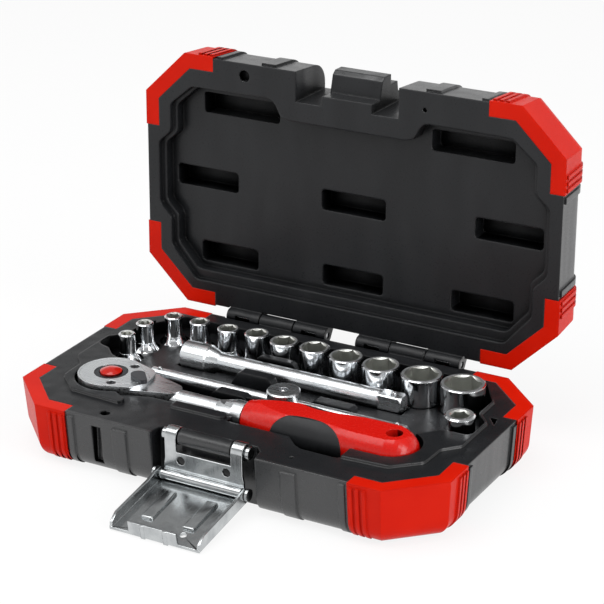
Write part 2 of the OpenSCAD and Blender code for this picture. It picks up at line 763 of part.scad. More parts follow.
module along_neck(x0, x1, r0, r1) {
    translate([x0, 0, ratchet_z]) rotate([0, 90, 0]) cylinder(h = x1 - x0, r1 = r0, r2 = r1);
}

module ratchet_cover() {
    r = ratchet_d / 2;
    color("silver") at_ratchet() difference() {
        translate([0, 0, head_top - cover_t])
            tangent_block(r - cover_rim - 0.1, cover_tip_r, lever_x, cover_t);
        along_z(0, 0, head_top - 3, head_top + 1, sleeve_r + 0.3);
        along_z(lever_x, 0, head_top - 3, head_top + 1, pivot_r + fit);
        for (p = screw_places) {
            translate([p[0], p[1], head_top - 1.2])
                cylinder(h = 1.4, r1 = screw_r + 0.1, r2 = screw_r + 0.1 + screw_cone * 1.4);
            along_z(p[0], p[1], head_top - 3, head_top, screw_r + 0.05);
        }
    }
}

module cover_screws() {
    color("gray") at_ratchet() for (p = screw_places) difference() {
        union() {
            translate([p[0], p[1], head_top - 1.2])
                cylinder(h = 1.1, r1 = screw_r, r2 = screw_r + screw_cone * 1.1);
            along_z(p[0], p[1], head_top - 7, head_top - 1.2, screw_r);
        }
        for (a = [20, 110])
            translate([p[0], p[1], head_top]) rotate(a) cube([2.3, 0.5, 0.9], center = true);
    }
}

// Radius of the grip at a distance along it
function grip_r(t) =
    grip_neck_r + grip_swell * sin(90 * min(1, 1.9 * t))
    - (t < 0.8 ? grip_waist * pow(sin(180 * max(0, (t - 0.3) / 0.5)), 2) : 0);

// The grip moved in by an inset: a turned form with a round end, cut flat above and below
module grip_form(inset) {
    l = ratchet_reach - grip_x;
    n = 16;
    end_r = 10.2;
    r = end_r - inset;
    half = grip_flat - inset;
    intersection() {
        translate([grip_x, 0, ratchet_z]) rotate([0, 90, 0]) rotate_extrude()
            polygon(concat([[0, inset], [5.6, inset], [7 - inset, 1 + inset]],
                           [for (i = [1:n]) [grip_r(i / n) - inset, 1 + i * (l - end_r - 1) / n]],
                           [for (a = [10:10:80]) [r * cos(a), l - end_r + r * sin(a)]],
                           [[0, l - inset]]));
        box(grip_x - 2, ratchet_reach + 2, -20, 20, ratchet_z - half, ratchet_z + half);
    }
}

// Zone of the soft inlays along both edges of the grip
module inlay_zone() {
    for (s = [-1, 1])
        translate([inlay_x, s * (inlay_r + inlay_crown), ratchet_z - 12]) cylinder(h = 24, r = inlay_r);
}

module ratchet_grip() {
    color("#E0301E") at_ratchet() difference() {
        grip_form(0);
        intersection() {
            inlay_zone();
            difference() {
                grip_form(-1);
                grip_form(inlay_t);
            }
        }
        along_neck(grip_x - 1, tang_end, tang_r, tang_r);
        along_z(ratchet_reach - 9.7, 0, 0, 60, hang_r);
    }
}

module grip_inlays() {
    color("#303234") at_ratchet() intersection() {
        inlay_zone();
        difference() {
            grip_form(0);
            grip_form(inlay_t);
        }
    }
}

// Gear with its anvil below and its sleeve through the cover above
module drive_gear() {
    z0 = head_top - head_h;
    color("gray") at_ratchet() difference() {
        union() {
            translate([0, 0, z0 + 2.1]) linear_extrude(8.2)
                polygon([for (i = [0:2 * gear_teeth - 1])
                    let (a = i * 180 / gear_teeth, r = gear_r - tooth_h * (i % 2))
                        [r * cos(a), r * sin(a)]]);
            along_z(0, 0, z0 - 0.2, z0 + 3, collar_bore - fit);
            along_z(0, 0, z0 + 9, head_top - 0.1, sleeve_r);
            translate([0, 0, z0]) mirror([0, 0, 1]) drive_square(8.6);
        }
        along_z(0, 0, head_top - 3.4, head_top + 1, button_r + 0.3);
        along_z(0, 0, z0 - 5, head_top, 1.6);
        along_z(0, 0, head_top - 8.6, head_top, 2.6);
        translate([0, -drive / 2 - 0.3, z0 - 4.6]) sphere(ball_seat_r);
    }
}

module drive_ball() {
    color("white") at_ratchet() translate([0, -drive / 2 - 0.2, head_top - head_h - 4.6])
        sphere(ball_r);
}

module release_button() {
    color("#E0301E") at_ratchet() {
        intersection() {
            translate([0, 0, head_top - 6.2]) sphere(8);
            along_z(0, 0, head_top - 1.2, head_top + 4, button_r);
        }
        along_z(0, 0, head_top - 13, head_top - 1, 1.3);
    }
}

module release_spring() {
    color("gray") at_ratchet() for (i = [0:3]) translate([0, 0, head_top - 8 + i * 1.15])
        rotate_extrude() translate([1.95, 0]) circle(0.4, $fn = 16);
}

module reversing_lever() {
    color("#3A3C3E") at_ratchet() translate([lever_x, 0, 0]) rotate(lever_rest) {
        translate([0, 0, head_top + 0.15]) tangent_block(2.9, 1.5, 5.4, 1.7);
        along_z(0, 0, head_top - 7, head_top + 0.2, pivot_r);
    }
}

module ratchet_pawl() {
    color("gray") at_ratchet() translate([lever_x, 0, 0]) rotate(lever_rest) difference() {
        translate([0, 0, head_top - 8.2]) linear_extrude(6) intersection() {
            circle(3.45);
            translate([-4.4, -5]) square([6, 10]);
        }
        along_z(0, 0, 0, 60, pivot_r);
    }
}

module pawl_plunger() {
    color("silver") at_ratchet() along_x(lever_x + 3.8, lever_x + 9, 0, head_top - 5, 1.2);
}

base_shell();
guard(-1, -1);  // base_guard_front_left
guard(1, -1);  // base_guard_front_right
guard(-1, 1);  // base_guard_back_left
guard(1, 1);  // base_guard_back_right
lid_shell();
lid_guard(-1, -1);  // lid_guard_front_left
lid_guard(1, -1);  // lid_guard_front_right
lid_guard(-1, 1);  // lid_guard_back_left
lid_guard(1, 1);  // lid_guard_back_right
hinge_pins();
latch_pin();
latch_link();
clasp_pin();
latch_clasp();
socket(0);  // socket_4
socket(1);  // socket_4_5
socket(2);  // socket_5
socket(3);  // socket_5_5
socket(4);  // socket_6
socket(5);  // socket_7
socket(6);  // socket_8
socket(7);  // socket_9
socket(8);  // socket_10
socket(9);  // socket_11
socket(10);  // socket_12
socket(11);  // socket_13
bit_adaptor();
bit_magnet();
extension_bar();
extension_ball();
t_handle_rod();
t_handle_stop_balls();
t_handle_slider();
t_handle_detent_balls();
ratchet_body();
ratchet_cover();
cover_screws();
ratchet_grip();
grip_inlays();
drive_gear();
drive_ball();
release_button();
release_spring();
reversing_lever();
ratchet_pawl();
pawl_plunger();
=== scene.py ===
"""Quarter-inch socket wrench set in a folding case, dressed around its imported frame."""

from __future__ import annotations

import json
import logging
import math
from dataclasses import dataclass, field, replace
from enum import Enum

import bpy
from mathutils import Matrix, Vector

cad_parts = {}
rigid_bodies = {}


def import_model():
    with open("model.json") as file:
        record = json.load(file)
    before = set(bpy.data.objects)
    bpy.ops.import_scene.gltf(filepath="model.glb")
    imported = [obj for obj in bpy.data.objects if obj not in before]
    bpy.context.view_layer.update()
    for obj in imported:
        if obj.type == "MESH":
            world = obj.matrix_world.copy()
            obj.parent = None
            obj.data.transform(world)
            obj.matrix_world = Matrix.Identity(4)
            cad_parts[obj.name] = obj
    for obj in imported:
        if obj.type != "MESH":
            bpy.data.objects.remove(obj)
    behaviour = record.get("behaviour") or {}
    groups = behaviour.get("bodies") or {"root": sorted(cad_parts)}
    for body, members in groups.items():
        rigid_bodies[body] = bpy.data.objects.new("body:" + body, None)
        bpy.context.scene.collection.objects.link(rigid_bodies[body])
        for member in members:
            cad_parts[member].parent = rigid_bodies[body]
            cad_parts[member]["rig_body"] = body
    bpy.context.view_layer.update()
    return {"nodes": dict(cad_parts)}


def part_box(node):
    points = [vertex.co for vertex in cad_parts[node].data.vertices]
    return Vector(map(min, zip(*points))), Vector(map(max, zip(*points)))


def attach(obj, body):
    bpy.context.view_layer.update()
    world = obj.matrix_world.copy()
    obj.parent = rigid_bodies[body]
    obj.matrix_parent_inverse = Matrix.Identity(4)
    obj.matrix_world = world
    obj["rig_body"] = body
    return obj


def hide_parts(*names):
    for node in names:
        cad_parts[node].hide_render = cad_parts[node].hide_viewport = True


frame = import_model()

MM = 0.001
log = logging.getLogger("socket_set")


# ---------- small tools ----------


def linear(code: str) -> tuple[float, float, float, float]:
    """Turns an sRGB hex colour into linear RGBA.

    Args:
        code: colour as #RRGGBB.

    Returns:
        Linear red, green, blue and an alpha of 1.
    """
    parts = [int(code[i : i + 2], 16) / 255 for i in (1, 3, 5)]
    r, g, b = (p / 12.92 if p <= 0.04045 else ((p + 0.055) / 1.055) ** 2.4 for p in parts)
    return (r, g, b, 1.0)


def add_node(tree: bpy.types.NodeTree, kind: str, inputs: dict, **settings) -> bpy.types.Node:
    """Adds a node, sets its properties, and fills or links its inputs.

    Args:
        tree: node tree of the material or world.
        kind: type name of the node.
        inputs: value or output socket for each input, by name or index.
        **settings: properties of the node itself.

    Returns:
        The new node.
    """
    node = tree.nodes.new(kind)
    for key, value in settings.items():
        setattr(node, key, value)
    for key, value in inputs.items():
        if isinstance(value, bpy.types.NodeSocket):
            tree.links.new(value, node.inputs[key])
        else:
            node.inputs[key].default_value = value
    return node


def select_only(obj: bpy.types.Object) -> None:
    """Leaves one object selected and active.

    Args:
        obj: the object to work on.
    """
    bpy.ops.object.select_all(action="DESELECT")
    obj.select_set(True)
    bpy.context.view_layer.objects.active = obj


def new_material(name: str) -> tuple[bpy.types.Material, bpy.types.NodeTree, bpy.types.Node]:
    """Makes an empty node material.

    Args:
        name: name of the material.

    Returns:
        The material, its tree and its output node.
    """
    material = bpy.data.materials.new(name)
    material.use_nodes = True
    tree = material.node_tree
    tree.nodes.clear()
    return material, tree, add_node(tree, "ShaderNodeOutputMaterial", {})


# ---------- finishes ----------


# A Mix node's colour sockets, by number: its names are shared with its other data types
COLOUR_A, COLOUR_B, COLOUR_OUT = 6, 7, 2
WHITE = "#FFFFFF"
BLACK = "#000000"
# Rays that the softened edges and the painted shade of hollows send out from each point
EDGE_RAYS = 6
HOLLOW_RAYS = 8
# Width of the cloudy patches in a metal's plating
HAZE_MM = 6.0
# Noise seldom leaves the middle of its range, so each use takes the span that it really fills
NOISE_SPAN = {"From Min": 0.3, "From Max": 0.7}
PATCH_SPAN = {"From Min": 0.35, "From Max": 0.75}
HAZE_SPAN = {"From Min": 0.4, "From Max": 0.8}
# Share of open sky at which the painted shade of a hollow is at its darkest, and at which it is
# gone
HOLLOW_SPAN = {"From Min": 0.35, "From Max": 0.72}


@dataclass(frozen=True)
class MouldedPlastic:
    """A moulded plastic skin: slow patches of colour, a fine grain, slow ripples, soft edges.

    The grain is drawn coarser than the real one, which is too fine to show. In hollows narrower
    than hollow_mm, shade is painted into the colour and the gloss, down to hollow_share of
    them. Faces that look away from inner_mm, a point inside the half, are the outside of the
    case: they shine more by wall_lift and get no painted shade. So does all that stands in
    front of barrel_y_mm, which is the barrel of the latch.
    """

    name: str
    colour: str
    scuffed: str
    roughness: float
    specular: float
    grain_mm: float
    grain_depth_mm: float
    ripple_mm: tuple[float, float, float]
    ripple_depth_mm: float
    edge_mm: float
    coat: float = 0.0
    coat_roughness: float = 0.12
    grain_spread: float = 0.06
    hollow_mm: float = 13.0
    hollow_share: float = 0.06
    wall_lift: float = 0.0
    inner_mm: tuple[float, float, float] = (0.0, 0.0, 0.0)
    outer_from_mm: float = 15.0
    outer_to_mm: float = 30.0
    barrel_y_mm: float = -52.0

    def build(self) -> bpy.types.Material:
        """Builds the node material.

        Returns:
            The finished material.
        """
        material, tree, output = new_material(self.name)
        coords = add_node(tree, "ShaderNodeTexCoord", {})
        place = coords.outputs["Object"]
        waves_per_m = tuple(1 / (m * MM) for m in self.ripple_mm)
        stretched = add_node(tree, "ShaderNodeMapping", {"Vector": place, "Scale": waves_per_m})
        ripple = add_node(tree, "ShaderNodeTexNoise",
                          {"Vector": stretched.outputs["Vector"], "Scale": 1.0,
                           "Detail": 1.0}).outputs["Fac"]
        grain = add_node(tree, "ShaderNodeTexNoise",
                         {"Vector": place, "Scale": 1 / (self.grain_mm * MM),
                          "Detail": 2.0}).outputs["Fac"]
        wall = self.outer_wall(tree, coords)
        light = self.painted_hollow_shade(tree, wall)
        patch = add_node(tree, "ShaderNodeMapRange", {"Value": ripple, **PATCH_SPAN})
        colour = add_node(tree, "ShaderNodeMix",
                          {"Factor": patch.outputs["Result"], COLOUR_A: linear(self.colour),
                           COLOUR_B: linear(self.scuffed)}, data_type="RGBA")
        # Painted shade: the colour fades towards black in narrow hollows
        painted_shade_colour = add_node(tree, "ShaderNodeMix",
                        {"Factor": light, COLOUR_A: linear(BLACK),
                         COLOUR_B: colour.outputs[COLOUR_OUT]}, data_type="RGBA")
        level = add_node(tree, "ShaderNodeMath", {0: wall, 1: self.wall_lift, 2: self.specular},
                         operation="MULTIPLY_ADD")
        # The painted shade dims the gloss in the hollows as well
        gloss = add_node(tree, "ShaderNodeMath", {0: light, 1: level.outputs[0]},
                         operation="MULTIPLY")
        sheen = add_node(tree, "ShaderNodeMapRange",
                         {"Value": grain, **NOISE_SPAN,
                          "To Min": self.roughness - self.grain_spread,
                          "To Max": self.roughness + self.grain_spread})
        shader = add_node(tree, "ShaderNodeBsdfPrincipled",
                          {"Base Color": painted_shade_colour.outputs[COLOUR_OUT],
                           "Roughness": sheen.outputs["Result"],
                           "Specular IOR Level": gloss.outputs[0], "Coat Weight": self.coat,
                           "Coat Roughness": self.coat_roughness,
                           "Normal": self.relief(tree, ripple, grain)})
        tree.links.new(shader.outputs["BSDF"], output.inputs["Surface"])
        return material

    def outer_wall(
        self, tree: bpy.types.NodeTree, coords: bpy.types.Node
    ) -> bpy.types.NodeSocket:
        """Tells the outside of the case and the latch's barrel from the inside.

        Args:
            tree: node tree of the material.
            coords: its texture coordinates.

        Returns:
            Output that is 1 on the outside and 0 on the inside.
        """
        place = coords.outputs["Object"]
        spot = add_node(tree, "ShaderNodeSeparateXYZ", {"Vector": place})
        barrel = add_node(tree, "ShaderNodeMath",
                          {0: spot.outputs["Y"], 1: self.barrel_y_mm * MM},
                          operation="LESS_THAN")
        reach = add_node(tree, "ShaderNodeVectorMath",
                         {0: place, 1: tuple(v * MM for v in self.inner_mm)},
                         operation="SUBTRACT")
        away = add_node(tree, "ShaderNodeVectorMath",
                        {0: reach.outputs["Vector"], 1: coords.outputs["Normal"]},
                        operation="DOT_PRODUCT")
        outer = add_node(tree, "ShaderNodeMapRange",
                         {"Value": away.outputs["Value"],
                          "From Min": self.outer_from_mm * MM,
                          "From Max": self.outer_to_mm * MM})
        return add_node(tree, "ShaderNodeMath",
                        {0: barrel.outputs[0], 1: outer.outputs["Result"]},
                        operation="MAXIMUM").outputs[0]

    def painted_hollow_shade(
        self, tree: bpy.types.NodeTree, wall: bpy.types.NodeSocket
    ) -> bpy.types.NodeSocket:
        """Paints shade into narrow hollows on the inside and none onto the outside.

        Args:
            tree: node tree of the material.
            wall: output that is 1 on the outside.

        Returns:
            Output with the painted share of light at each spot, which scales colour and gloss.
        """
        # Painted shade: the share of open sky within hollow_mm sets how dark a hollow is painted
        open_sky = add_node(tree, "ShaderNodeAmbientOcclusion",
                            {"Distance": self.hollow_mm * MM}, samples=HOLLOW_RAYS)
        shade = add_node(tree, "ShaderNodeMapRange",
                         {"Value": open_sky.outputs["AO"], **HOLLOW_SPAN,
                          "To Min": self.hollow_share, "To Max": 1.0})
        return add_node(tree, "ShaderNodeMath", {0: shade.outputs["Result"], 1: wall},
                        operation="MAXIMUM").outputs[0]

    def relief(
        self, tree: bpy.types.NodeTree, ripple: bpy.types.NodeSocket, grain: bpy.types.NodeSocket
    ) -> bpy.types.NodeSocket:
        """Softens the edges, then lays the ripples and the grain over them.

        Args:
            tree: node tree of the material.
            ripple: output of the slow ripples.
            grain: output of the fine grain.

        Returns:
            Output with the normal of the finished surface.
        """
        edge = add_node(tree, "ShaderNodeBevel", {"Radius": self.edge_mm * MM}, samples=EDGE_RAYS)
        slow = add_node(tree, "ShaderNodeBump",
                        {"Height": ripple, "Distance": self.ripple_depth_mm * MM,
                         "Normal": edge.outputs["Normal"]})
        fine = add_node(tree, "ShaderNodeBump",
                        {"Height": grain, "Distance": self.grain_depth_mm * MM,
                         "Normal": slow.outputs["Normal"]})
        return fine.outputs["Normal"]


@dataclass(frozen=True)
class WorkedMetal:
    """Plated or polished steel with fine working marks along one axis and a faint haze.

    mark_mm is the size of a mark along x, y and z. The real marks are too fine to show, so
    they are drawn about half a millimetre wide.
    """

    name: str
    colour: str
    stain: str
    roughness: float
    mark_mm: tuple[float, float, float]
    mark_depth_mm: float
    edge_mm: float = 0.15
    spread: float = 0.25

    def build(self) -> bpy.types.Material:
        """Builds the node material.

        Returns:
            The finished material.
        """
        material, tree, output = new_material(self.name)
        place = add_node(tree, "ShaderNodeTexCoord", {}).outputs["Object"]
        marks_per_m = tuple(1 / (m * MM) for m in self.mark_mm)
        stretched = add_node(tree, "ShaderNodeMapping", {"Vector": place, "Scale": marks_per_m})
        marks = add_node(tree, "ShaderNodeTexNoise",
                         {"Vector": stretched.outputs["Vector"], "Scale": 1.0, "Detail": 3.0})
        haze = add_node(tree, "ShaderNodeTexNoise",
                        {"Vector": place, "Scale": 1 / (HAZE_MM * MM), "Detail": 2.0})
        veil = add_node(tree, "ShaderNodeMapRange", {"Value": haze.outputs["Fac"], **HAZE_SPAN})
        colour = add_node(tree, "ShaderNodeMix",
                          {"Factor": veil.outputs["Result"], COLOUR_A: linear(self.colour),
                           COLOUR_B: linear(self.stain)}, data_type="RGBA")
        sheen = add_node(tree, "ShaderNodeMapRange",
                         {"Value": marks.outputs["Fac"], **NOISE_SPAN,
                          "To Min": self.roughness * (1 - self.spread),
                          "To Max": self.roughness * (1 + self.spread)})
        edge = add_node(tree, "ShaderNodeBevel", {"Radius": self.edge_mm * MM}, samples=EDGE_RAYS)
        bump = add_node(tree, "ShaderNodeBump",
                        {"Height": marks.outputs["Fac"], "Distance": self.mark_depth_mm * MM,
                         "Normal": edge.outputs["Normal"]})
        shader = add_node(tree, "ShaderNodeBsdfPrincipled",
                          {"Base Color": colour.outputs[COLOUR_OUT], "Metallic": 1.0,
                           "Roughness": sheen.outputs["Result"], "Normal": bump.outputs["Normal"]})
        tree.links.new(shader.outputs["BSDF"], output.inputs["Surface"])
        return material


# Blow-moulded polyethylene: waxy, with slow ripples where it cooled unevenly. The outside lies
# against the polished half of the mould, so it shines more than the inside
CASE_SKIN = MouldedPlastic(
    name="blow_moulded_polyethylene_black", colour="#1B1C1E", scuffed="#212224",
    roughness=0.32, specular=0.28, grain_mm=0.6, grain_depth_mm=0.006,
    ripple_mm=(11.0, 11.0, 40.0), ripple_depth_mm=0.5, edge_mm=1.1, wall_lift=0.6)
# The guards are the same plastic, dyed right through. Solid corners cool evenly, so they
# hardly ripple, and their red stays even and softly matt
GUARD_SKIN = MouldedPlastic(
    name="blow_moulded_polyethylene_red", colour="#C81703", scuffed="#D01D07",
    roughness=0.34, specular=0.08, grain_mm=0.6, grain_depth_mm=0.005,
    ripple_mm=(16.0, 16.0, 16.0), ripple_depth_mm=0.08, edge_mm=0.7)
# Injection-moulded polypropylene from a polished mould: smooth, with a thin gloss on top
GRIP_SHELL = MouldedPlastic(
    name="injection_moulded_polypropylene_red", colour="#CE140A", scuffed="#D41A10",
    roughness=0.26, specular=0.3, grain_mm=1.5, grain_depth_mm=0.0,
    ripple_mm=(20.0, 20.0, 20.0), ripple_depth_mm=0.02, edge_mm=0.6, coat=0.2)
# Rubber moulded over the grip: fine-grained and dull, so it drinks the light beside the red
GRIP_SOFT = MouldedPlastic(
    name="overmoulded_soft_rubber_black", colour="#1E1F21", scuffed="#242527",
    roughness=0.45, specular=0.35, grain_mm=0.6, grain_depth_mm=0.004,
    ripple_mm=(12.0, 12.0, 12.0), ripple_depth_mm=0.02, edge_mm=0.4)
# Acetal is hard and slick: one small, tight highlight on the button
BUTTON_CAP = MouldedPlastic(
    name="injection_moulded_acetal_red", colour="#BC1B0E", scuffed="#C42112",
    roughness=0.2, specular=0.35, grain_mm=1.5, grain_depth_mm=0.0,
    ripple_mm=(9.0, 9.0, 9.0), ripple_depth_mm=0.01, edge_mm=0.3, coat=0.3)
# Nylon takes the fine texture of its mould: a plain grey with a broad, weak highlight
LEVER_CAP = MouldedPlastic(
    name="injection_moulded_nylon_grey", colour="#303236", scuffed="#383A3E",
    roughness=0.36, specular=0.4, grain_mm=0.6, grain_depth_mm=0.003,
    ripple_mm=(9.0, 9.0, 9.0), ripple_depth_mm=0.01, edge_mm=0.25)
# Chromium over polished nickel: a cool mirror with faint lines along the upright sockets
BRIGHT_CHROME = WorkedMetal(
    name="polished_chromium_plate", colour="#EAECEE", stain="#DCDFE2", roughness=0.11,
    mark_mm=(0.4, 0.4, 9.0), mark_depth_mm=0.0002)
# Chromium over satin nickel: the brushing runs along the handles and spreads the highlights
SATIN_CHROME = WorkedMetal(
    name="satin_chromium_plate", colour="#F0F3F5", stain="#E2E6E9", roughness=0.3,
    mark_mm=(9.0, 0.5, 0.5), mark_depth_mm=0.0004)
# The mouth of a socket is ground flat after plating and scatters the light
GROUND_RIM = WorkedMetal(
    name="ground_chromium_rim", colour="#F6F7F8", stain="#ECEEF0", roughness=0.42,
    mark_mm=(0.6, 0.6, 0.6), mark_depth_mm=0.0)
# A broached hexagon keeps the tool's drag lines along the socket and little of the plating
BROACHED_STEEL = WorkedMetal(
    name="broached_steel", colour="#DADBD6", stain="#C4C5C0", roughness=0.36,
    mark_mm=(0.4, 0.4, 6.0), mark_depth_mm=0.0006)
# Zinc over pressed sheet: a grey, soft mirror with faint rolling lines
ZINC_SHEET = WorkedMetal(
    name="zinc_plated_pressed_steel", colour="#C3C6C7", stain="#A9ACAE", roughness=0.2,
    mark_mm=(0.5, 8.0, 8.0), mark_depth_mm=0.0006)
# Wire drawn through a die, and balls rolled from it: plain steel grey with long fine lines
PIN_STEEL = WorkedMetal(
    name="drawn_steel_wire", colour="#BDBEC0", stain="#A7A9AB", roughness=0.25,
    mark_mm=(9.0, 0.4, 0.4), mark_depth_mm=0.0005)
# Blued in the hardening: dark and low in shine, so the works stay quiet in the bright head
HARD_STEEL = WorkedMetal(
    name="blued_hardened_steel", colour="#4A4C50", stain="#36383B", roughness=0.3,
    mark_mm=(0.5, 0.5, 0.5), mark_depth_mm=0.0005)
# Ferrite is pressed from powder and fired: dull charcoal without a highlight
FERRITE = WorkedMetal(
    name="sintered_ferrite", colour="#3A3A3C", stain="#2E2E30", roughness=0.5,
    mark_mm=(0.5, 0.5, 0.5), mark_depth_mm=0.001)


# ---------- pieces ----------


class Half(Enum):
    """One half of the case, by the name of its body."""

    BASE = "base"
    LID = "lid"


@dataclass(frozen=True)
class Rounding:
    """How the edges of a piece are rounded, once its flat faces are whole.

    Faces within flat_deg of each other become one, and edges shorter than speck_mm vanish.
    """

    width_mm: float
    segments: int
    flat_deg: float = 1.5
    speck_mm: float = 0.01


# Sheared sheet steel, tumbled before it is plated
SHEET_EDGE = Rounding(width_mm=0.25, segments=2)
# An edge that turns by more than this is sharp
SMOOTH_DEG = 35.0
# Corners of loose triangles that are closer than this are one corner
WELD_MM = 0.02
# Large faces decide the normals at their edges, so that they stay flat
AREA_WEIGHT = 100


def merged_copy(node: str, finish: bpy.types.Material) -> bpy.types.Object:
    """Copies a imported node, merges its loose triangles and lets the copy stand for the node.

    Args:
        node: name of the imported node.
        finish: material of the piece.

    Returns:
        The new piece, selected and active.
    """
    source = frame["nodes"][node]
    body = source["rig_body"]
    mesh = source.data.copy()
    mesh.name = f"{node}_piece"
    obj = bpy.data.objects.new(f"{node}_piece", mesh)
    bpy.context.scene.collection.objects.link(obj)
    mesh.materials.clear()
    mesh.materials.append(finish)
    select_only(obj)
    if mesh.has_custom_normals:
        bpy.ops.mesh.customdata_custom_splitnormals_clear()
    bpy.ops.object.mode_set(mode="EDIT")
    bpy.ops.mesh.select_all(action="SELECT")
    bpy.ops.mesh.remove_doubles(threshold=WELD_MM * MM)
    bpy.ops.object.mode_set(mode="OBJECT")
    bpy.ops.object.shade_smooth_by_angle(angle=math.radians(SMOOTH_DEG))
    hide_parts(node)
    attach(obj, body)
    log.info("%s stands for %s on %s", obj.name, node, body)
    return obj


def round_edges(obj: bpy.types.Object, edge: Rounding) -> None:
    """Rounds the edges of a merged piece and keeps its flat faces flat.

    Args:
        obj: the piece, selected and active.
        edge: rounding of its edges.
    """
    bpy.ops.object.mode_set(mode="EDIT")
    bpy.ops.mesh.select_all(action="SELECT")
    bpy.ops.mesh.dissolve_degenerate(threshold=edge.speck_mm * MM)
    bpy.ops.mesh.dissolve_limited(angle_limit=math.radians(edge.flat_deg))
    bpy.ops.object.mode_set(mode="OBJECT")
    bevel = obj.modifiers.new("rounding", "BEVEL")
    bevel.width = edge.width_mm * MM
    bevel.segments = edge.segments
    bevel.limit_method = "ANGLE"
    bevel.angle_limit = math.radians(SMOOTH_DEG)
    bevel.use_clamp_overlap = False
    bevel.loop_slide = False
    bpy.ops.object.modifier_apply(modifier=bevel.name)
    bpy.ops.object.shade_smooth_by_angle(angle=math.radians(SMOOTH_DEG))
    flatten = obj.modifiers.new("flat faces", "WEIGHTED_NORMAL")
    flatten.mode = "FACE_AREA"
    flatten.weight = AREA_WEIGHT
    flatten.keep_sharp = True
    bpy.ops.object.modifier_apply(modifier=flatten.name)


def dress_node(node: str, finish: bpy.types.Material) -> None:
    """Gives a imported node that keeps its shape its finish.

    Args:
        node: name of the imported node.
        finish: material of the node.
    """
    materials = frame["nodes"][node].data.materials
    materials.clear()
    materials.append(finish)
    log.info("%s dressed", node)


@dataclass
class Case:
    """The folding case: two shells, eight corner guards and the hinge pins.

    inner_mm is a point inside each half, from which its outer walls look away.
    """

    ends: tuple[str, str] = ("front", "back")
    sides: tuple[str, str] = ("left", "right")
    inner_mm: dict[Half, tuple[float, float, float]] = field(default_factory=lambda: {
        Half.BASE: (0.0, 0.0, 42.0), Half.LID: (0.0, 38.0, 78.0)})

    def build(self) -> None:
        """Builds both halves and dresses the pins."""
        red = GUARD_SKIN.build()
        for half in Half:
            skin = replace(CASE_SKIN, name=f"{CASE_SKIN.name}_{half.value}",
                           inner_mm=self.inner_mm[half])
            dress_node(f"{half.value}_shell", skin.build())
            for end in self.ends:
                for side in self.sides:
                    dress_node(f"{half.value}_guard_{end}_{side}", red)
        dress_node("hinge_pins", PIN_STEEL.build())


@dataclass
class Latch:
    """The pressed steel latch: pin, link, clasp pin and clasp with its two pressed beads.

    The clasp turns about pivot_mm, given as y and z, and stands clasp_turn_deg from upright.
    The beads' places are those of the upright clasp, whose inner face is at face_mm.
    """

    sheets: tuple[str, str] = ("latch_link", "latch_clasp")
    pins: tuple[str, str] = ("latch_pin", "clasp_pin")
    pivot_mm: tuple[float, float] = (-53.8, 8.9)
    clasp_turn_deg: float = 98.5
    face_mm: float = -2.3
    bead_size_mm: tuple[float, float, float] = (5.0, 1.7, 18.0)
    bead_sunk_mm: float = 0.5
    bead_round_share: float = 0.47
    bead_segments: int = 6
    bead_x_mm: float = 9.0
    bead_z_mm: float = 16.0

    def build(self) -> None:
        """Builds the sheet parts and dresses the pins."""
        plate = ZINC_SHEET.build()
        for node in self.sheets:
            round_edges(merged_copy(node, plate), SHEET_EDGE)
        for node in self.pins:
            dress_node(node, plate)
        self.beads(plate)

    def beads(self, plate: bpy.types.Material) -> None:
        """Presses two stiffening beads into the inner face of the clasp.

        Args:
            plate: material of the clasp.
        """
        width, thick, length = self.bead_size_mm
        bpy.ops.object.select_all(action="DESELECT")
        bpy.ops.mesh.primitive_cube_add(size=1.0, location=(0, 0, 0))
        first = bpy.context.active_object
        bpy.ops.object.mode_set(mode="EDIT")
        bpy.ops.mesh.select_all(action="SELECT")
        bpy.ops.transform.resize(value=(width * MM, thick * MM, length * MM))
        bpy.ops.mesh.bevel(offset=self.bead_round_share * thick * MM,
                           segments=self.bead_segments)
        bpy.ops.object.mode_set(mode="OBJECT")
        bpy.ops.object.shade_smooth()
        first.data.materials.append(plate)
        second = first.copy()
        second.data = first.data.copy()
        bpy.context.scene.collection.objects.link(second)
        pivot = (Matrix.Translation((0, self.pivot_mm[0] * MM, self.pivot_mm[1] * MM))
                 @ Matrix.Rotation(math.radians(self.clasp_turn_deg), 4, "X"))
        depth_mm = self.face_mm + thick / 2 - self.bead_sunk_mm
        for obj, name, side in ((first, "clasp_bead_left", -1), (second, "clasp_bead_right", 1)):
            obj.name = obj.data.name = name
            spot = Vector((side * self.bead_x_mm, depth_mm, self.bead_z_mm)) * MM
            obj.data.transform(pivot @ Matrix.Translation(spot))
            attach(obj, "clasp")
            log.info("%s rides on clasp", name)


class SocketFinish(Enum):
    """The three finishes of a socket, in the order of its material slots."""

    OUTSIDE = 0
    HOLES = 1
    RIM = 2


